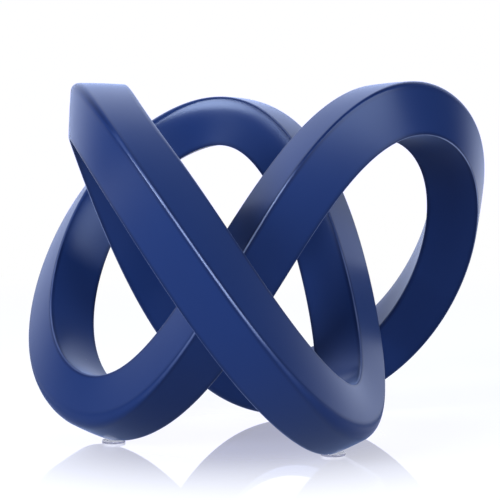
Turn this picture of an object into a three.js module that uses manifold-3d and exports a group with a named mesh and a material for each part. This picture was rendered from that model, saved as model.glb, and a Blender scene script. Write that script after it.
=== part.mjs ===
// A table ornament: one closed strand of square section, tied as a three-lobed knot.
// Three equal resin arms are pinned and glued end to end, and the seams are painted over.
// Units are millimetres and degrees. +Z is up, -Y is the front, and it stands on Z = 0.

import * as THREE from "three";
import { mergeVertices } from "three/addons/utils/BufferGeometryUtils.js";
import Module from "manifold-3d";

const wasm = await Module();
wasm.setup();

// The strand's middle line, seen from above, adds up four circular sweeps.
const meanReach = 56; // two laps round the upright axis
const lobeReach = 20.3; // one lap the other way, which draws the line out into three lobes
const lobeLead = -12.3; // degrees that the lobes lean round the axis
const tipReach = 2.4; // four laps the other way, which sharpens the lobes' ends
const tipLead = 13; // degrees
const flareReach = 1.3; // five laps, which widens the lobes

// Its height above and below the middle plane.
const crestRise = 50.3; // three crests and three feet in a lap
const crestNarrow = 3.6; // makes the crests and feet narrower on one side
const crestPeak = 0.85; // makes their ends tighter

// The square section, and how far it is turned about the middle line.
const sectionSide = 18.35;
const turnRest = 31.5; // degrees from facing straight out
const turnSwing = 33.2; // degrees more at the feet, and less at the crests
const turnEase = 4.7; // degrees taken off on the way into each bend

// The long edges are crisp on the straights and blunt on the outside of the bends.
const crispRadius = 0.7;
const bluntRadius = 3;
const bluntBend = 33; // bend radius of the middle line at which an outer edge is that blunt
const bluntEase = 0.2; // how gently an edge goes from crisp to blunt, where 0 is at once
const roundestShare = 0.45; // of the section's side, for the bluntest edge that fits it

// Glued joints: two steel pins across a diagonal of the section.
const glueFilm = 0.3; // between any two pieces
const pinDiameter = 3;
const pinLength = 24;
const pinWall = 3; // resin between a pin's socket and the nearest faces
const socketSpare = 0.5; // room past each end of a pin

// Clear soft pads, each with a foot bedded in it.
const padDiameter = 8;
const padThickness = 1;
const padBed = 0.6; // depth that the foot sinks into the pad

// Fineness of the facets.
const armSteps = 72;
const edgePoints = 4;
const roundSides = 24;

const third = (2 * Math.PI) / 3;
const jointTurn = third / 2; // the arms meet where the line passes nearest to the axis
const tiny = 1e-3;

function middle(t) {
  const lead = THREE.MathUtils.degToRad(lobeLead);
  const tip = THREE.MathUtils.degToRad(tipLead);
  const sweeps = [
    [meanReach, 2 * t],
    [lobeReach, lead - t],
    [tipReach, tip - 4 * t],
    [flareReach, 5 * t],
  ];
  const x = sweeps.reduce((sum, [reach, angle]) => sum + reach * Math.sin(angle), 0);
  const y = sweeps.reduce((sum, [reach, angle]) => sum - reach * Math.cos(angle), 0);
  const fall = crestRise * Math.sin(3 * t) - crestNarrow * Math.sin(6 * t) + crestPeak * Math.sin(9 * t);
  return new THREE.Vector3(x, y, -fall);
}

// Where the strand is at t, which way it runs, how it bends, and which way its section faces.
function stationAt(t) {
  const centre = middle(t);
  const before = middle(t - tiny);
  const after = middle(t + tiny);
  const along = after.clone().sub(before);
  const pace = along.length() / (2 * tiny);
  along.normalize();
  const bend = before.add(after).addScaledVector(centre, -2).divideScalar((pace * tiny) ** 2);
  bend.addScaledVector(along, -bend.dot(along));
  const out = new THREE.Vector3(Math.sin(2 * t), -Math.cos(2 * t), 0);
  out.addScaledVector(along, -out.dot(along)).normalize();
  const turn = turnRest + turnSwing * Math.sin(3 * t) - turnEase * Math.sin(6 * t);
  const across = out.applyAxisAngle(along, THREE.MathUtils.degToRad(turn));
  const over = along.clone().cross(across);
  return { centre, along, pace, bend, across, over };
}

// One edge's rounding: crisp, growing where the edge is on the outside of a bend.
function edgeRadius(station, towards) {
  const outside = -station.bend.dot(towards) * bluntBend;
  const eased = (outside + Math.hypot(outside, bluntEase)) / 2;
  return Math.min(crispRadius + (bluntRadius - crispRadius) * eased, sectionSide * roundestShare);
}

function ringAt(t) {
  const station = stationAt(t);
  const ring = [];
  for (let edge = 0; edge < 4; edge++) {
    const facing = Math.PI / 4 + (edge * Math.PI) / 2;
    const towards = station.across.clone().multiplyScalar(Math.cos(facing));
    towards.addScaledVector(station.over, Math.sin(facing));
    const radius = edgeRadius(station, towards);
    const start = station.centre.clone().addScaledVector(towards, (sectionSide / 2 - radius) * Math.SQRT2);
    for (let i = 0; i < edgePoints; i++) {
      const angle = facing + (i / (edgePoints - 1) - 0.5) * (Math.PI / 2);
      const point = start.clone().addScaledVector(station.across, radius * Math.cos(angle));
      ring.push(point.addScaledVector(station.over, radius * Math.sin(angle)));
    }
  }
  return { ring, centre: station.centre };
}

// A closed loft from one end of an arm to the other.
function armLoft() {
  const trim = glueFilm / 2 / stationAt(jointTurn).pace;
  const from = trim - jointTurn;
  const span = third - 2 * trim;
  const points = [];
  const faces = [];
  const around = 4 * edgePoints;
  for (let step = 0; step <= armSteps; step++) {
    points.push(...ringAt(from + (span * step) / armSteps).ring);
  }
  for (let step = 0; step < armSteps; step++) {
    for (let i = 0; i < around; i++) {
      const a = step * around + i;
      const b = step * around + ((i + 1) % around);
      faces.push(a, b, b + around, a, b + around, a + around);
    }
  }
  for (const [step, flip] of [[0, true], [armSteps, false]]) {
    const hub = points.length;
    points.push(ringAt(from + (span * step) / armSteps).centre);
    for (let i = 0; i < around; i++) {
      const a = step * around + i;
      const b = step * around + ((i + 1) % around);
      faces.push(...(flip ? [hub, b, a] : [hub, a, b]));
    }
  }
  const geometry = new THREE.BufferGeometry().setFromPoints(points);
  return geometry.setIndex(faces);
}

function solidOf(geometry) {
  const bare = geometry.clone();
  bare.deleteAttribute("normal");
  bare.deleteAttribute("uv");
  const merged = mergeVertices(bare);
  const vertProperties = new Float32Array(merged.attributes.position.array);
  const triVerts = new Uint32Array(merged.index.array);
  return new wasm.Manifold(new wasm.Mesh({ numProp: 3, vertProperties, triVerts }));
}

function geometryOf(solid) {
  const { vertProperties, triVerts } = solid.getMesh();
  const geometry = new THREE.BufferGeometry();
  geometry.setAttribute("position", new THREE.BufferAttribute(vertProperties, 3));
  geometry.setIndex(new THREE.BufferAttribute(triVerts, 1));
  return geometry;
}

// Pins run along the strand, through the joint, on opposite corners of its section.
function pinGeometry(side, radius, length) {
  const station = stationAt(jointTurn);
  const socketRadius = pinDiameter / 2 + glueFilm;
  const inset = sectionSide / 2 - pinWall - socketRadius;
  const geometry = new THREE.CylinderGeometry(radius, radius, length, roundSides);
  geometry.rotateX(Math.PI / 2);
  geometry.translate(side * inset, side * inset, 0);
  const place = new THREE.Matrix4().makeBasis(station.across, station.over, station.along);
  return geometry.applyMatrix4(place.setPosition(station.centre));
}

// One arm, with two sockets at each end. Its near end meets the next arm's far end.
function armSolid() {
  let solid = solidOf(armLoft());
  for (const side of [-1, 1]) {
    const bore = pinGeometry(side, pinDiameter / 2 + glueFilm, pinLength + 2 * socketSpare);
    solid = solid.subtract(solidOf(bore));
    solid = solid.subtract(solidOf(bore.clone().rotateZ(third)));
  }
  return solid;
}

function lowestPoint(geometry) {
  const spots = geometry.attributes.position;
  const lowest = new THREE.Vector3(0, 0, Infinity);
  for (let i = 0; i < spots.count; i++) {
    if (spots.getZ(i) < lowest.z) lowest.fromBufferAttribute(spots, i);
  }
  return lowest;
}

function padSolid(arm, foot) {
  const disc = new THREE.CylinderGeometry(padDiameter / 2, padDiameter / 2, padThickness, roundSides);
  disc.rotateX(Math.PI / 2);
  disc.translate(foot.x, foot.y, foot.z + padBed - glueFilm - padThickness / 2);
  return solidOf(disc).subtract(arm.translate([0, 0, -glueFilm]));
}

const paintedResin = { color: 0x2a3d78, roughness: 0.42, metalness: 0 };
const steel = { color: 0xb4b7ba, roughness: 0.3, metalness: 1 };
const clearSilicone = { color: 0xdde3e6, roughness: 0.35, metalness: 0 };

function piece(name, geometry, finish) {
  const mesh = new THREE.Mesh(geometry, new THREE.MeshStandardMaterial(finish));
  mesh.name = name;
  return mesh;
}

const arm = armSolid();
const armGeometry = geometryOf(arm);
const padGeometry = geometryOf(padSolid(arm, lowestPoint(armGeometry)));

const knot = new THREE.Group();
const arms = ["front", "left", "right"];
arms.forEach((name, i) => {
  const next = arms[(i + 1) % arms.length];
  const group = new THREE.Group();
  group.rotation.z = -third * i;
  group.add(piece(`${name}_arm`, armGeometry, paintedResin));
  group.add(piece(`${name}_${next}_pin_a`, pinGeometry(-1, pinDiameter / 2, pinLength), steel));
  group.add(piece(`${name}_${next}_pin_b`, pinGeometry(1, pinDiameter / 2, pinLength), steel));
  group.add(piece(`${name}_pad`, padGeometry, clearSilicone));
  knot.add(group);
});

// Stand it on Z = 0, with the middle of its outline over the origin.
const box = new THREE.Box3().setFromObject(knot, true);
knot.position.set(-(box.min.x + box.max.x) / 2, -(box.min.y + box.max.y) / 2, -box.min.z);

export default knot;
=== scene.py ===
# Looks of the navy-blue knot ornament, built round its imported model.
# Metres and degrees. +Z is up, -Y is the front, and it stands on z = 0.
import math

import bmesh
import bpy
from mathutils import Matrix, Vector
from mathutils.bvhtree import BVHTree


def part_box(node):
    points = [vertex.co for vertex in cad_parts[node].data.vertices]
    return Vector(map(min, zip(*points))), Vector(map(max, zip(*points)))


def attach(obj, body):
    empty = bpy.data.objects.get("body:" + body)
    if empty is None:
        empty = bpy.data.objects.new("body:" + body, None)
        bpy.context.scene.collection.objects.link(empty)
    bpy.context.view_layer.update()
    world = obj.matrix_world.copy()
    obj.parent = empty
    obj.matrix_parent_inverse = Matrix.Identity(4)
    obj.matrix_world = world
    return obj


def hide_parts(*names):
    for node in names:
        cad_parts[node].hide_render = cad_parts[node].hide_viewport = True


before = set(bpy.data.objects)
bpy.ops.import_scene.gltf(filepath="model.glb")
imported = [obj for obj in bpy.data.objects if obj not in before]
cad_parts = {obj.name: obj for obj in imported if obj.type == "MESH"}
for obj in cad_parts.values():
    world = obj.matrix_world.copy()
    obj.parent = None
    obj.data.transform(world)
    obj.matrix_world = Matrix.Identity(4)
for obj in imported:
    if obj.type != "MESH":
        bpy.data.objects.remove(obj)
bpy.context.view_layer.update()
sides = ("front", "left", "right")  # of the three arms, in their order along the strand
pinNodes = {name: node for name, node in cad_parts.items() if "_pin_" in name}
padBoxes = {name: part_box(f"{name}_pad") for name in sides}
padMiddles = {name: (low + high) / 2 for name, (low, high) in padBoxes.items()}
knotAxis = sum(padMiddles.values(), Vector()) / len(sides)  # the pads lie evenly round it
knotAxis.z = 0.0621  # middle plane of the strand over the tabletop
print(f"frame loaded: axis at {knotAxis.x:.4f}, {knotAxis.y:.4f}")


# Node wiring

class Wire:
    # One output of a node. Arithmetic on it adds the node that does the sum.
    def __init__(self, socket):
        self.socket = socket
        self.tree = socket.id_data
        self.isVector = socket.type in ("VECTOR", "RGBA")

    def step(self, operation, *others):
        node = self.tree.nodes.new("ShaderNodeVectorMath" if self.isVector else "ShaderNodeMath")
        node.operation = operation
        slots = [slot for slot in node.inputs if slot.enabled]
        for slot, value in zip(slots, (self, *others)):
            plug(slot, value)
        return Wire(next(slot for slot in node.outputs if slot.enabled))

    def __add__(self, other):
        return self.step("ADD", other)

    def __sub__(self, other):
        return self.step("SUBTRACT", other)

    def __mul__(self, other):
        scales = self.isVector and not (isinstance(other, Wire) and other.isVector)
        return self.step("SCALE" if scales else "MULTIPLY", other)

    def __truediv__(self, other):
        return self.step("DIVIDE", other)

    def rest(self):
        # what is left of 1
        return self * -1 + 1

    def sine(self):
        return self.step("SINE")

    def cosine(self):
        return self.step("COSINE")

    def least(self, limit):
        return self.step("MINIMUM", limit)

    def most(self, limit):
        return self.step("MAXIMUM", limit)


def plug(slot, value):
    if isinstance(value, Wire):
        value.tree.links.new(value.socket, slot)
    else:
        slot.default_value = value


def addNode(tree, kind, inputs=None, **settings):
    node = tree.nodes.new(kind)
    for name, value in settings.items():
        setattr(node, name, value)
    for name, value in (inputs or {}).items():
        plug(node.inputs[name], value)
    return node


def combine(tree, x, y, z):
    return Wire(addNode(tree, "ShaderNodeCombineXYZ", {"X": x, "Y": y, "Z": z}).outputs[0])


def eased(value, low, high):
    # 0 below low, 1 above high, and smooth between
    ramp = addNode(value.tree, "ShaderNodeMapRange", {"Value": value}, interpolation_type="SMOOTHSTEP")
    ramp.inputs["From Min"].default_value = low
    ramp.inputs["From Max"].default_value = high
    return Wire(ramp.outputs["Result"])


# Surface detail, as node groups that several materials share

patterns = dict(
    toneApart=(0.7, 0.3, 0.5),  # from the patches of colour to those of roughness
    glintToShadeApart=(0.3, 0.6, 0.2),  # from the patches of painted highlight to those of painted shade
    glintShadeRange=(-0.2, 0.15),  # of the noise, from least to most of the painted highlight and shade
    leastGlint=0.4,  # share of the painted highlight line that is left where its patches are weakest
    leastShade=0.6,  # the same for the painted shade
    spotRim=(0.6, 1.0),  # of a spot's radius, where it fades
)


def startGroup(name, inputs, outputs):
    tree = bpy.data.node_groups.new(name, "ShaderNodeTree")
    for way, sockets in (("INPUT", inputs), ("OUTPUT", outputs)):
        for title, kind in sockets.items():
            tree.interface.new_socket(name=title, in_out=way, socket_type="NodeSocket" + kind)
    entry = addNode(tree, "NodeGroupInput").outputs
    return tree, {title: Wire(entry[title]) for title in inputs}


def useGroup(tree, group, inputs):
    node = addNode(tree, "ShaderNodeGroup", node_tree=bpy.data.node_groups[group])
    for title, value in inputs.items():
        plug(node.inputs[title], value)
    return {socket.name: Wire(socket) for socket in node.outputs}


def noise(place, scale, detail=2.0):
    # from about -0.5 to 0.5
    node = addNode(place.tree, "ShaderNodeTexNoise", {"Vector": place, "Scale": scale, "Detail": detail})
    return Wire(node.outputs[0]) - 0.5


def mixed(color, target, mask):
    return color + (target - color) * mask


def buildGrain():
    # height of a surface's fine waves and of its slow ones
    inputs = dict(Place="Vector", Fine="Float", FineHeight="Float", Broad="Float", BroadHeight="Float")
    tree, given = startGroup("surfaceGrain", inputs, dict(Height="Float"))
    fine = noise(given["Place"], given["Fine"]) * given["FineHeight"]
    broad = noise(given["Place"], given["Broad"], detail=1.0) * given["BroadHeight"]
    addNode(tree, "NodeGroupOutput", {"Height": fine + broad})


def buildDrift():
    # colour and roughness that drift a little from patch to patch
    inputs = dict(Place="Vector", Patches="Float", Color="Color", Spread="Float")
    inputs.update(Roughness="Float", RoughSpread="Float")
    tree, given = startGroup("toneDrift", inputs, dict(Color="Color", Roughness="Float"))
    drift = noise(given["Place"], given["Patches"])
    other = noise(given["Place"] + patterns["toneApart"], given["Patches"], detail=4.0)
    color = given["Color"] * (drift * given["Spread"] + 1)
    roughness = other * given["RoughSpread"] + given["Roughness"]
    addNode(tree, "NodeGroupOutput", {"Color": color, "Roughness": roughness})


def buildSpots():
    # 1 on small round spots that lie far apart, such as dust and pits
    inputs = dict(Place="Vector", Cells="Float", Share="Float", Across="Float")
    tree, given = startGroup("sparseSpots", inputs, dict(Mask="Float"))
    scattered = {"Vector": given["Place"], "Scale": given["Cells"]}
    cells = addNode(tree, "ShaderNodeTexVoronoi", scattered).outputs
    chance = Wire(addNode(tree, "ShaderNodeSeparateXYZ", {0: Wire(cells["Color"])}).outputs[0])
    reach = Wire(cells["Distance"]) / given["Cells"] / given["Across"] * 2
    spot = eased(reach, *patterns["spotRim"]).rest()
    addNode(tree, "NodeGroupOutput", {"Mask": spot * chance.step("LESS_THAN", given["Share"])})


def buildEdgeLight():
    # breaks up, in patches, the painted highlight line along an edge and the painted shade in the strips
    # next to it
    inputs = dict(Paintedglint="Float", Paintedshade="Float", Place="Vector", Patches="Float")
    tree, given = startGroup("paintedEdgeLight", inputs, dict(Paintedglint="Float", ShadeMask="Float"))
    patch = eased(noise(given["Place"], given["Patches"]), *patterns["glintShadeRange"])
    place = given["Place"] + patterns["glintToShadeApart"]
    other = eased(noise(place, given["Patches"]), *patterns["glintShadeRange"])
    leastGlint = patterns["leastGlint"]
    leastShade = patterns["leastShade"]
    addNode(tree, "NodeGroupOutput", {
        "Paintedglint": given["Paintedglint"] * (patch * (1 - leastGlint) + leastGlint),
        "ShadeMask": given["Paintedshade"] * (other * (1 - leastShade) + leastShade),
    })


def spots(tree, place, kind):
    inputs = {"Place": place, "Cells": kind["cells"], "Share": kind["share"], "Across": kind["across"]}
    return useGroup(tree, "sparseSpots", inputs)["Mask"]


def grain(tree, place, kind):
    inputs = {"Place": place, "Fine": kind["fine"], "FineHeight": kind["fineHeight"]}
    inputs.update({"Broad": kind["broad"], "BroadHeight": kind["broadHeight"]})
    return useGroup(tree, "surfaceGrain", inputs)["Height"]


def tone(tree, place, kind):
    inputs = {"Place": place, "Patches": kind["patches"], "Color": (*kind["color"], 1)}
    inputs.update({"Spread": kind["spread"], "Roughness": kind["roughness"]})
    inputs["RoughSpread"] = kind["roughSpread"]
    return useGroup(tree, "toneDrift", inputs)


def startMaterial(name):
    material = bpy.data.materials.new(name)
    material.use_nodes = True
    tree = material.node_tree
    place = Wire(addNode(tree, "ShaderNodeTexCoord").outputs["Object"])
    return material, tree, tree.nodes["Principled BSDF"], place


def finishMaterial(shader, color, roughness, height):
    tree = color.tree
    bump = addNode(tree, "ShaderNodeBump", {"Height": height, "Distance": 1.0, "Strength": 1.0})
    plug(shader.inputs["Base Color"], color)
    plug(shader.inputs["Roughness"], roughness)
    plug(shader.inputs["Normal"], Wire(bump.outputs[0]))


# The strand

strand = dict(
    meanReach=0.056,  # the middle line laps the axis twice at this radius
    lobeReach=0.0203,  # one lap the other way, which draws out three lobes
    lobeLead=-12.3,
    tipReach=0.0024,  # four laps the other way
    tipLead=13,
    flareReach=0.0013,  # five laps
    crestRise=0.0503,
    crestNarrow=0.0036,
    crestPeak=0.00085,
    sectionSide=0.0183,
    turnRest=31.5,  # the square section's turn about the middle line
    turnSwing=33.2,
    turnEase=4.7,
    faceCrown=0.00012,  # swell in the middle of each face
)
angles = ("lobeLead", "tipLead", "turnRest", "turnSwing", "turnEase")
edges = dict(
    # Plain radius of each of the four edges and how strong its painted highlight is there, then where
    # it is rounder: the added radius, its place along the arm as an angle of t (a foot is at 30, a crest
    # at 88), and how narrow the place is.
    lower=(0.0005, 1.0, (0.0026, 34, 5)),
    inner=(0.0006, 0.15),
    upper=(0.0008, 0.3, (0.0026, 100, 14)),
    outer=(0.0007, 1.0, (0.0045, 30, 8), (0.0020, 92, 12)),
)
faces = dict(
    fall=4,  # degrees by which the face inside the upper edge falls away towards it
    fallSwells=((11, 76, 2),),  # degrees more, place and narrowness, as for an edge
    fallTail=3.0,  # how far from the edge that stays, higher for nearer
    outerTuck=0.0005,  # how far the outer edge is drawn in, so that its crisp part keeps to the size
)
lines = dict(
    narrow=4,  # how narrow the painted highlight line and the painted shade line are on their edges
    strip=0.0012,  # width of the strip of painted shade next to a crisp edge
    darkPlace=85.5,  # angle of t round which the outer edge has a painted shade line instead of a painted highlight
    darkRange=(0.765, 0.845),  # nearness to that place, from none to all of the painted shade line
)
mesh = dict(
    steps=320,  # rings along an arm
    gather=0.94,  # how much closer the rings stand at the joints
    arcSteps=8,  # round each edge
    faceSteps=12,  # across each face
    reach=0.01,  # of t, for the direction of the middle line
    rimAngle=50,  # corners sharper than this, which only the joints have, are left hard
)
perQuarter = mesh["arcSteps"] + mesh["faceSteps"]
sockets = dict(
    film=0.0003,  # of glue round a pin
    spare=0.0005,  # room past each end of a pin
    merge=0.000001,  # points of a pin closer than this are one
)


def addPiece(name, data):
    piece = bpy.data.objects.new(name, data)
    bpy.context.scene.collection.objects.link(piece)
    return piece


def bake(piece):
    # Keeps what the piece's modifiers make as its own plain mesh.
    bpy.context.view_layer.update()
    depsgraph = bpy.context.evaluated_depsgraph_get()
    result = bpy.data.meshes.new_from_object(piece.evaluated_get(depsgraph), depsgraph=depsgraph)
    piece.modifiers.clear()
    before = piece.data
    piece.data = result
    result.name = piece.name
    bpy.data.meshes.remove(before)


def middleLine(tree, size, t):
    sweeps = (
        ("meanReach", None, 2),
        ("lobeReach", "lobeLead", -1),
        ("tipReach", "tipLead", -4),
        ("flareReach", None, 5),
    )
    x = y = t * 0
    for reach, lead, laps in sweeps:
        angle = t * laps
        if lead:
            angle = angle + size[lead]
        x = x + size[reach] * angle.sine()
        y = y - size[reach] * angle.cosine()
    # three waves that come back on each of the three arms
    fall = size["crestRise"] * (t * 3).sine() - size["crestNarrow"] * (t * 6).sine()
    fall = fall + size["crestPeak"] * (t * 9).sine()
    return combine(tree, x, y, fall * -1)


def nearness(t, place):
    # 1 at a place along each arm, and 0 half an arm away from it
    return ((t - math.radians(place)) * len(sides)).cosine() * 0.5 + 0.5


def swelling(t, plain, swells):
    # a plain value, higher round some places along the arm
    total = t * 0 + plain
    for added, place, narrow in swells:
        total = total + nearness(t, place).step("POWER", narrow) * added
    return total


def stationAt(tree, size, t):
    # Where the middle line is, and the two directions in which its section is drawn. They start from
    # out, which points away from the axis on the two main laps, and are turned from there.
    along = middleLine(tree, size, t + mesh["reach"]) - middleLine(tree, size, t - mesh["reach"])
    along = along.step("NORMALIZE")
    out = combine(tree, (t * 2).sine(), (t * 2).cosine() * -1, 0)
    out = (out - along * out.step("DOT_PRODUCT", along)).step("NORMALIZE")
    side = along.step("CROSS_PRODUCT", out)
    turn = size["turnRest"] + size["turnSwing"] * (t * 3).sine() - size["turnEase"] * (t * 6).sine()
    across = out * turn.cosine() + side * turn.sine()
    over = along.step("CROSS_PRODUCT", across)
    return {"t": t, "centre": middleLine(tree, size, t), "across": across, "over": over}


def edgeAt(size, station, quarter, share):
    # One rounded edge of the section: the flat position at a share of its arc, across and over.
    number = quarter.step("MODULO", len(edges))
    isEdge = {name: number.step("COMPARE", index, 0.5) for index, name in enumerate(edges)}
    radius = crispRadius = glintStrength = number * 0
    # each edge's radius, and how strong the painted highlight along it is
    for name, (plain, edgeLight, *swells) in edges.items():
        radius = radius + swelling(station["t"], plain, swells) * isEdge[name]
        crispRadius = crispRadius + isEdge[name] * plain
        glintStrength = glintStrength + isEdge[name] * edgeLight
    roll = swelling(station["t"], faces["fall"], faces["fallSwells"]) * math.radians(1) * isEdge["upper"]
    facing = quarter * (math.pi / 2) + math.pi / 4
    hub = (size["sectionSide"] / 2 - radius) * math.sqrt(2) - isEdge["outer"] * faces["outerTuck"]
    arc = facing - math.pi / 4 + roll + (roll * -1 + math.pi / 2) * share
    return {
        "across": hub * facing.cosine() + radius * arc.cosine(),
        "over": hub * facing.sine() + radius * arc.sine(),
        "crisp": crispRadius / radius,
        "glintStrength": glintStrength,
        "isOuter": isEdge["outer"],
        "facing": facing,
        "roll": roll,
    }


def outlineAt(size, station, around):
    # The section's outline: each quarter of a ring is an edge's arc, then the face up to the next edge.
    quarter = around.step("FLOOR")
    index = ((around - quarter) * perQuarter).step("FLOOR")
    arcShare = (index / mesh["arcSteps"]).least(1)
    faceShare = ((index - mesh["arcSteps"]) / mesh["faceSteps"]).most(0)
    faceShare = (faceShare * math.pi).cosine() * -0.5 + 0.5  # steps gather towards both edges
    near = edgeAt(size, station, quarter, arcShare)
    far = edgeAt(size, station, quarter + 1, arcShare * 0)
    fall = faceShare.step("POWER", faces["fallTail"]) * faceShare.rest()
    swell = size["faceCrown"] * (faceShare * faceShare.rest()) * 4
    swell = swell + size["sectionSide"] * far["roll"].step("TANGENT") * fall
    facing = near["facing"] + math.pi / 4
    point = station["centre"]
    for way, lean in (("across", facing.cosine()), ("over", facing.sine())):
        flat = near[way] + (far[way] - near[way]) * faceShare + swell * lean
        point = point + station[way] * flat
    return point, paintMarks(size, station["t"], near, far, arcShare, faceShare)


def paintMarks(size, t, near, far, arcShare, faceShare):
    # The painted highlight along the middle of a crisp edge, and the painted shade in the strip on both
    # sides of it. Round the crests the outer edge has a painted shade line in its middle instead.
    ridge = (arcShare * math.pi).sine().most(0)
    dark = eased(nearness(t, lines["darkPlace"]), *lines["darkRange"]) * near["isOuter"]
    paintedglint = (ridge * near["crisp"]).step("POWER", lines["narrow"]) * near["glintStrength"] * dark.rest()
    fading = size["sectionSide"] * -1 / lines["strip"]
    paintedshade = near["crisp"] * (faceShare * fading + 1)
    paintedshade = paintedshade.most(far["crisp"] * (faceShare.rest() * fading + 1)).most(0)
    paintedshade = paintedshade * (ridge * ridge).rest()
    paintedshade = paintedshade.most(ridge.step("POWER", lines["narrow"]) * dark)
    return {"paintedglint": paintedglint, "paintedshade": paintedshade}


def buildArmTree():
    tree = bpy.data.node_groups.new("knotArm", "GeometryNodeTree")
    tree.interface.new_socket(name="Geometry", in_out="OUTPUT", socket_type="NodeSocketGeometry")
    kinds = {name: "Float" for name in strand}
    kinds.update(third="Float", middle="Vector", steps="Int", paint="Material")
    for name, kind in kinds.items():
        tree.interface.new_socket(name=name, in_out="INPUT", socket_type="NodeSocket" + kind)
    given = addNode(tree, "NodeGroupInput").outputs
    size = {name: Wire(given[name]) for name in strand}

    tube = addNode(tree, "GeometryNodeMeshCylinder", fill_type="NGON")
    plug(tube.inputs["Vertices"], len(edges) * perQuarter)
    plug(tube.inputs["Side Segments"], Wire(given["steps"]))
    plug(tube.inputs["Radius"], 1)
    plug(tube.inputs["Depth"], 1)
    place = Wire(addNode(tree, "GeometryNodeInputPosition").outputs[0])
    split = addNode(tree, "ShaderNodeSeparateXYZ", {0: place}).outputs

    # t runs along the arm, with the rings gathered towards both joints
    share = Wire(split["Z"]) + 0.5
    gathered = share - (share * (2 * math.pi)).sine() * (mesh["gather"] / (2 * math.pi))
    t = (gathered + Wire(given["third"])) * (2 * math.pi / 3) - math.pi / 3
    # counted in quarters from the first edge, and half a step on, so that no point sits on a limit
    around = Wire(split["Y"]).step("ARCTAN2", Wire(split["X"])) / (math.pi / 2) + (4 + 0.5 / perQuarter)
    point, marks = outlineAt(size, stationAt(tree, size, t), around.step("MODULO", len(edges)))

    # the marks of painted highlight and painted shade are stored first, because they are worked out from
    # where the tube's points were
    shape = Wire(tube.outputs["Mesh"])
    for title, value in marks.items():
        store = addNode(tree, "GeometryNodeStoreNamedAttribute", data_type="FLOAT", domain="POINT")
        plug(store.inputs["Geometry"], shape)
        plug(store.inputs["Name"], title)
        plug(store.inputs["Value"], value)
        shape = Wire(store.outputs[0])
    moved = addNode(tree, "GeometryNodeSetPosition", {"Geometry": shape})
    plug(moved.inputs["Position"], point + Wire(given["middle"]))
    whole = addNode(tree, "GeometryNodeRealizeInstances", {0: Wire(moved.outputs[0])})
    painted = addNode(tree, "GeometryNodeSetMaterial", {"Geometry": Wire(whole.outputs[0])})
    plug(painted.inputs["Material"], Wire(given["paint"]))
    addNode(tree, "NodeGroupOutput", {"Geometry": Wire(painted.outputs[0])})
    return tree


def meshFromNodes(name, tree, values):
    piece = addPiece(name, bpy.data.meshes.new(name))
    modifier = piece.modifiers.new("nodes", "NODES")
    modifier.node_group = tree
    inputs = {item.name: item.identifier for item in tree.interface.items_tree if item.in_out == "INPUT"}
    for key, value in values.items():
        modifier[inputs[key]] = value
    bake(piece)
    return piece


def pinLine(pin):
    # a pin's direction and middle
    points = [vertex.co for vertex in pin.data.vertices]
    spans = [points[edge.vertices[0]] - points[edge.vertices[1]] for edge in pin.data.edges]
    return max(spans, key=lambda span: span.length).normalized(), sum(points, Vector()) / len(points)


def socketCutter(side, paint):
    # The pins at an arm's two ends, thicker by their film of glue and longer by the spare room.
    shape = bmesh.new()
    for name, pin in pinNodes.items():
        if side not in name.split("_"):
            continue
        axis, middle = pinLine(pin)
        old = len(shape.verts)
        shape.from_mesh(pin.data)
        shape.verts.ensure_lookup_table()
        for vertex in shape.verts[old:]:
            offset = vertex.co - middle
            lengthwise = axis * offset.dot(axis)
            longer = lengthwise.normalized() * sockets["spare"]
            wider = (offset - lengthwise).normalized() * sockets["film"]
            vertex.co += longer + wider
    bmesh.ops.remove_doubles(shape, verts=shape.verts, dist=sockets["merge"])
    cutter = addPiece("socketCutter", bpy.data.meshes.new("socketCutter"))
    shape.to_mesh(cutter.data)
    shape.free()
    cutter.data.materials.append(paint)
    return cutter


def cutSockets(arm, cutter):
    # the blind holes that the pins are glued into
    cut = arm.modifiers.new("sockets", "BOOLEAN")
    cut.operation = "DIFFERENCE"
    cut.solver = "EXACT"
    cut.material_mode = "TRANSFER"
    cut.object = cutter
    bake(arm)
    blank = cutter.data
    bpy.data.objects.remove(cutter)
    bpy.data.meshes.remove(blank)


def buildArms(paint):
    tree = buildArmTree()
    values = {name: float(value) for name, value in strand.items()}
    values.update({name: math.radians(strand[name]) for name in angles})
    values.update(middle=tuple(knotAxis), steps=mesh["steps"], paint=paint)
    arms = {}
    for third, name in enumerate(sides):
        arm = meshFromNodes(f"{name}_arm_painted", tree, {**values, "third": float(third)})
        cutSockets(arm, socketCutter(name, paint))
        arm.data.shade_smooth()
        arm.data.set_sharp_from_angle(angle=math.radians(mesh["rimAngle"]))
        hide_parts(f"{name}_arm")
        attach(arm, "root")
        arms[name] = arm
        print(f"{arm.name}: {len(arm.data.polygons)} faces")
    return arms


# Paint

paint = dict(
    color=(0.0098, 0.0272, 0.119),  # navy
    patches=35,
    spread=0.12,
    roughness=0.25,
    roughSpread=0.08,
    gloss=0.38,  # of the shader's specular, 0.5 for plain lacquer
    glossTint=(0.58, 0.72, 1.0),
    haze=0.4,  # pale bloom of the satin finish at a slant
    hazeRoughness=0.4,
    hazeTint=(0.4, 0.56, 1.0),
    fine=650,  # orange peel
    fineHeight=0.0000025,
    broad=50,  # slow unevenness of the hand-rubbed casting
    broadHeight=0.00005,
    # patches that break up the painted highlight and the painted shade along the edges
    glintAndShadePatches=60,
    # painted highlight along the middle of the crisp edges
    glintStrength=0.95,
    glintColor=(0.3, 0.38, 0.62),
    # painted shade next to the crisp edges and in a line along the outer crease below the crests
    shadeStrength=0.8,
    shadeColor=(0.003, 0.008, 0.045),
)
dust = dict(cells=170, share=0.2, across=0.00035, cover=0.3, color=(0.16, 0.2, 0.32))
pits = dict(cells=110, share=0.16, across=0.0005, cover=0.6, color=(0.004, 0.01, 0.04), depth=0.00004)


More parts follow.
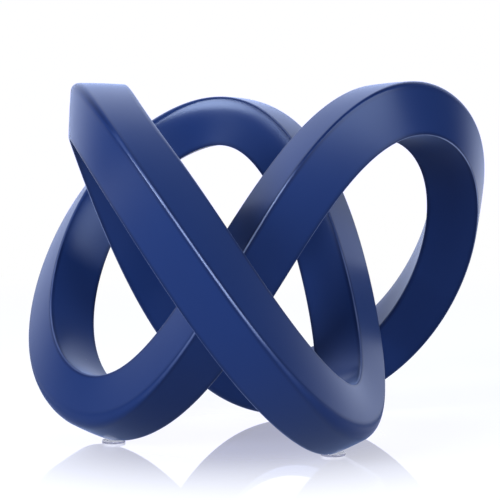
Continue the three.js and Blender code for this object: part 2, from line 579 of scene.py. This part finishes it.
def paintMaterial():
    material, tree, shader, place = startMaterial("navySatinPaint")
    shader.inputs["Specular IOR Level"].default_value = paint["gloss"]
    shader.inputs["Specular Tint"].default_value = (*paint["glossTint"], 1)
    shader.inputs["Sheen Weight"].default_value = paint["haze"]
    shader.inputs["Sheen Roughness"].default_value = paint["hazeRoughness"]
    shader.inputs["Sheen Tint"].default_value = (*paint["hazeTint"], 1)
    drift = tone(tree, place, paint)
    inputs = {"Place": place, "Patches": paint["glintAndShadePatches"]}
    # the painted highlight and painted shade along the edges, as stored on the mesh
    for title in ("paintedglint", "paintedshade"):
        mark = addNode(tree, "ShaderNodeAttribute", attribute_name=title)
        inputs[title.capitalize()] = Wire(mark.outputs["Fac"])
    edgeLight = useGroup(tree, "paintedEdgeLight", inputs)
    pitted = spots(tree, place, pits)
    layers = (
        # painted shade, then painted highlight, along the edges; then dust and pits
        (paint["shadeColor"], edgeLight["ShadeMask"] * paint["shadeStrength"]),
        (paint["glintColor"], edgeLight["Paintedglint"] * paint["glintStrength"]),
        (dust["color"], spots(tree, place, dust) * dust["cover"]),
        (pits["color"], pitted * pits["cover"]),
    )
    color = drift["Color"]
    for layerColor, mask in layers:
        color = mixed(color, combine(tree, *layerColor), mask)
    height = grain(tree, place, paint) - pitted * pits["depth"]
    finishMaterial(shader, color, drift["Roughness"], height)
    return material


# Pads

pads = dict(
    radius=0.004,
    height=0.001,
    around=64,
    underRings=(0.35, 0.7, 0.9),  # of the radius
    rimTop=0.00035,
    rimFoot=0.00015,
    rimSteps=5,
    rings=14,
    seat=0.00002,  # clearance under the painted foot
)
silicone = dict(
    color=(0.62, 0.64, 0.7),
    clearness=0.97,
    bending=1.41,  # index of refraction
    patches=300,
    spread=0.05,
    roughness=0.1,
    roughSpread=0.08,
    fine=2500,
    fineHeight=0.000003,
    broad=300,
    broadHeight=0.00001,
)
lint = dict(cells=900, share=0.3, across=0.00012, cover=0.5, color=(0.45, 0.45, 0.47))


def siliconeMaterial():
    material, tree, shader, place = startMaterial("clearSilicone")
    shader.inputs["Transmission Weight"].default_value = silicone["clearness"]
    shader.inputs["IOR"].default_value = silicone["bending"]
    drift = tone(tree, place, silicone)
    color = mixed(drift["Color"], combine(tree, *lint["color"]), spots(tree, place, lint) * lint["cover"])
    finishMaterial(shader, color, drift["Roughness"], grain(tree, place, silicone))
    return material


def padOutline():
    # reach from the pad's middle and height, from under the middle to over it
    radius, height = pads["radius"], pads["height"]
    outline = [(radius * share, 0) for share in pads["underRings"]]
    rims = ((pads["rimFoot"], pads["rimFoot"], -90), (pads["rimTop"], height - pads["rimTop"], 0))
    for rim, level, start in rims:
        for step in range(pads["rimSteps"] + 1):
            angle = math.radians(start + 90 * step / pads["rimSteps"])
            outline.append((radius - rim + rim * math.cos(angle), level + rim * math.sin(angle)))
    flat = radius - pads["rimTop"]
    outline += [(flat * (1 - step / pads["rings"]), height) for step in range(1, pads["rings"])]
    return outline


def mouldPad(pad, middle, foot):
    shape = bmesh.new()
    turns = [2 * math.pi * step / pads["around"] for step in range(pads["around"])]
    circle = [(math.cos(turn), math.sin(turn)) for turn in turns]
    rings = []
    for reach, height in padOutline():
        points = [(middle.x + reach * x, middle.y + reach * y, height) for x, y in circle]
        rings.append([shape.verts.new(point) for point in points])
    under = shape.verts.new((middle.x, middle.y, 0))
    over = shape.verts.new((middle.x, middle.y, pads["height"]))
    for step in range(pads["around"]):
        following = (step + 1) % pads["around"]
        for lower, upper in zip(rings, rings[1:]):
            shape.faces.new((lower[step], lower[following], upper[following], upper[step]))
        shape.faces.new((under, rings[0][following], rings[0][step]))
        shape.faces.new((rings[-1][step], rings[-1][following], over))
    # the foot presses its shape into the pad
    for vertex in shape.verts:
        below = Vector((vertex.co.x, vertex.co.y, -pads["height"]))
        hit = foot.ray_cast(below, Vector((0, 0, 1)))[0]
        if hit and hit.z - pads["seat"] < vertex.co.z:
            vertex.co.z = hit.z - pads["seat"]
    bmesh.ops.recalc_face_normals(shape, faces=shape.faces)
    shape.to_mesh(pad.data)
    shape.free()


def buildPads(arms, material):
    bpy.context.view_layer.update()
    depsgraph = bpy.context.evaluated_depsgraph_get()
    for name, middle in padMiddles.items():
        pad = addPiece(f"{name}_pad_moulded", bpy.data.meshes.new(f"{name}_pad_moulded"))
        mouldPad(pad, middle, BVHTree.FromObject(arms[name], depsgraph))
        pad.data.materials.append(material)
        pad.data.shade_smooth()
        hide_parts(f"{name}_pad")
        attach(pad, "root")
        print(f"{pad.name}: {len(pad.data.polygons)} faces")


# Pins

pins = dict(
    color=(0.56, 0.57, 0.585),
    patches=200,
    spread=0.1,
    roughness=0.3,
    roughSpread=0.15,
    stretch=60,  # how much longer than wide the drawing lines are
    fine=6000,
    fineHeight=0.0000012,
    broad=600,
    broadHeight=0.000004,
)
stain = dict(cells=500, share=0.25, across=0.0006, cover=0.35, color=(0.2, 0.17, 0.15))


def steelMaterial(name, axis, middle):
    material, tree, shader, place = startMaterial(f"drawnSteel_{name}")
    shader.inputs["Metallic"].default_value = 1
    along = addNode(tree, "ShaderNodeMapping", {"Vector": place}, vector_type="TEXTURE")
    along.inputs["Location"].default_value = middle
    along.inputs["Rotation"].default_value = axis.to_track_quat("Z", "Y").to_euler()
    along.inputs["Scale"].default_value = (1, 1, pins["stretch"])
    drawn = Wire(along.outputs[0])
    drift = tone(tree, drawn, pins)
    stained = spots(tree, place, stain) * stain["cover"]
    color = mixed(drift["Color"], combine(tree, *stain["color"]), stained)
    finishMaterial(shader, color, drift["Roughness"], grain(tree, drawn, pins))
    return material


def finishPins():
    for name, pin in pinNodes.items():
        axis, middle = pinLine(pin)
        pin.material_slots[0].material = steelMaterial(name, axis, middle)
        print(f"{name}: steel along {axis.x:.2f}, {axis.y:.2f}, {axis.z:.2f}")


# Stage

stage = dict(
    half=3.0,  # of the floor's width
    albedo=(0.22, 0.245, 0.31),
    glow=0.86,  # what the camera sees of the white sheet besides the lamps' light on it
    clearNear=0.25,  # distance from the knot at which the floor starts to fade to plain white
    clearFar=0.9,
    gloss=1.45,  # index of refraction of the sheet's face
    mirror=1.45,  # strength of the reflection under the knot, over plain gloss
    mirrorMost=0.9,  # its limit at a slant
    mirrorNear=0.02,  # distance from the knot's axis at which it starts to fade
    mirrorFar=0.12,
    mirrorLoss=(1.0, 1.0, 0.87),  # how much of the sheet's own white it takes away; less in blue, which paints a bluish tint into the floor's reflection under the knot
    backTurn=-170,  # white paper behind the knot
    backRise=15,
    backSpread=55,
    backSoft=20,
    backTint=(0.86, 0.95, 1.25),  # of its light on the knot
)


def anyRay(*kinds):
    # 1 for every ray of these kinds
    total = Wire(kinds[0])
    for kind in kinds[1:]:
        total = total.most(Wire(kind))
    return total


def floorMaterial():
    material = bpy.data.materials.new("whiteGlossFloor")
    material.use_nodes = True
    tree = material.node_tree
    tree.nodes.clear()
    place = Wire(addNode(tree, "ShaderNodeTexCoord").outputs["Object"])
    away = ((place - tuple(knotAxis)) * combine(tree, 1, 1, 0)).step("LENGTH")
    clear = eased(away, stage["clearNear"], stage["clearFar"])
    rays = addNode(tree, "ShaderNodeLightPath").outputs
    seen = anyRay(rays["Is Camera Ray"], rays["Is Transmission Ray"])
    seen = seen * (clear * (1 - stage["glow"]) + stage["glow"])
    mirrored = Wire(rays["Is Glossy Ray"]) * clear
    slant = Wire(addNode(tree, "ShaderNodeFresnel", {"IOR": stage["gloss"]}).outputs[0])
    gone = eased(away, stage["mirrorNear"], stage["mirrorFar"])
    share = (slant * gone.rest() * stage["mirror"]).least(stage["mirrorMost"])
    kept = combine(tree, *stage["mirrorLoss"]) * share * -1 + (1, 1, 1)
    sheet = combine(tree, *stage["albedo"]) * clear.rest()
    diffuse = addNode(tree, "ShaderNodeBsdfDiffuse", {"Color": kept * sheet})
    glow = addNode(tree, "ShaderNodeEmission", {"Color": kept, "Strength": seen.most(mirrored)})
    lit = addNode(tree, "ShaderNodeAddShader", {0: Wire(diffuse.outputs[0]), 1: Wire(glow.outputs[0])})
    gloss = addNode(tree, "ShaderNodeBsdfGlossy", {"Color": combine(tree, share, share, share)})
    gloss.inputs["Roughness"].default_value = 0
    whole = addNode(tree, "ShaderNodeAddShader", {0: Wire(lit.outputs[0]), 1: Wire(gloss.outputs[0])})
    addNode(tree, "ShaderNodeOutputMaterial", {"Surface": Wire(whole.outputs[0])})
    return material


def heading(turn, rise):
    # A direction from the knot, turned from the front towards the right, and raised.
    turn, rise = math.radians(turn), math.radians(rise)
    return Vector((math.sin(turn) * math.cos(rise), -math.cos(turn) * math.cos(rise), math.sin(rise)))


def buildFloor():
    sheet = bpy.data.meshes.new("floor")
    half = stage["half"]
    corners = [(-half, -half, 0), (half, -half, 0), (half, half, 0), (-half, half, 0)]
    sheet.from_pydata(corners, [], [(0, 1, 2, 3)])
    sheet.materials.append(floorMaterial())
    floorObject = addPiece("floor", sheet)


def buildStudio():
    # a dim studio with white paper behind the knot, which stands before plain white
    world = bpy.data.worlds.new("studio")
    bpy.context.scene.world = world
    world.use_nodes = True
    tree = world.node_tree
    tree.nodes.clear()
    rays = addNode(tree, "ShaderNodeLightPath").outputs
    seen = anyRay(rays["Is Camera Ray"], rays["Is Singular Ray"], rays["Is Transmission Ray"])
    facing = Wire(addNode(tree, "ShaderNodeTexCoord").outputs["Generated"])
    facing = facing.step("DOT_PRODUCT", tuple(heading(stage["backTurn"], stage["backRise"])))
    low = math.cos(math.radians(stage["backSpread"] + stage["backSoft"]))
    high = math.cos(math.radians(stage["backSpread"] - stage["backSoft"]))
    paper = combine(tree, *stage["backTint"]) * eased(facing, low, high)
    sky = addNode(tree, "ShaderNodeBackground", {"Color": paper.most(combine(tree, seen, seen, seen))})
    addNode(tree, "ShaderNodeOutputWorld", {"Surface": Wire(sky.outputs[0])})


lampTint = (0.99, 1.0, 1.05)
lamps = dict(
    left=dict(turn=-40, rise=20, away=1.0, across=0.5, power=10.9),
    right=dict(turn=53, rise=15, away=1.2, across=0.85, power=9.3),
    rear=dict(turn=175, rise=52, away=1.0, across=0.6, power=0.35),
    low=dict(turn=4, rise=5, away=1.0, across=0.26, power=2.4),
)


def buildLamps():
    for name, lamp in lamps.items():
        light = bpy.data.lights.new(f"{name}Softbox", "AREA")
        light.shape = "DISK"
        light.size = lamp["across"]
        light.energy = lamp["power"]
        light.color = lampTint
        towards = heading(lamp["turn"], lamp["rise"])
        softbox = addPiece(light.name, light)
        softbox.location = knotAxis + towards * lamp["away"]
        softbox.rotation_euler = towards.to_track_quat("Z", "Y").to_euler()
        softbox.visible_camera = False


# Camera

shot = dict(
    azimuth=4.95,
    elevation=3.18,
    roll=-0.66,
    distance=0.523,
    lens=108.65,
    sensor=36,
    nearest=0.01,  # what is closer to the eye isn't drawn
    right=0.00245,  # of the knot's middle, to the point that the camera looks at
    up=0.0032,
)


def buildCamera():
    back = heading(shot["azimuth"], shot["elevation"])
    right = Vector((0, 0, 1)).cross(back).normalized()
    up = back.cross(right)
    roll = math.radians(shot["roll"])
    rolledRight = right * math.cos(roll) + up * math.sin(roll)
    rolledUp = up * math.cos(roll) - right * math.sin(roll)
    eye = knotAxis + back * shot["distance"]
    target = knotAxis + rolledRight * shot["right"] + rolledUp * shot["up"]
    away = (eye - target).normalized()
    sideways = rolledUp.cross(away).normalized()
    upright = away.cross(sideways)
    lens = bpy.data.cameras.new("camera")
    lens.lens = shot["lens"]
    lens.sensor_width = shot["sensor"]
    lens.clip_start = shot["nearest"]
    camera = addPiece("camera", lens)
    camera.matrix_world = Matrix.Translation(eye) @ Matrix((sideways, upright, away)).transposed().to_4x4()
    bpy.context.scene.camera = camera


bpy.context.scene.view_settings.view_transform = "Standard"
buildCamera()
for buildGroup in (buildGrain, buildDrift, buildSpots, buildEdgeLight):
    buildGroup()
buildPads(buildArms(paintMaterial()), siliconeMaterial())
finishPins()
buildFloor()
buildStudio()
buildLamps()
print("stage and lamps set")
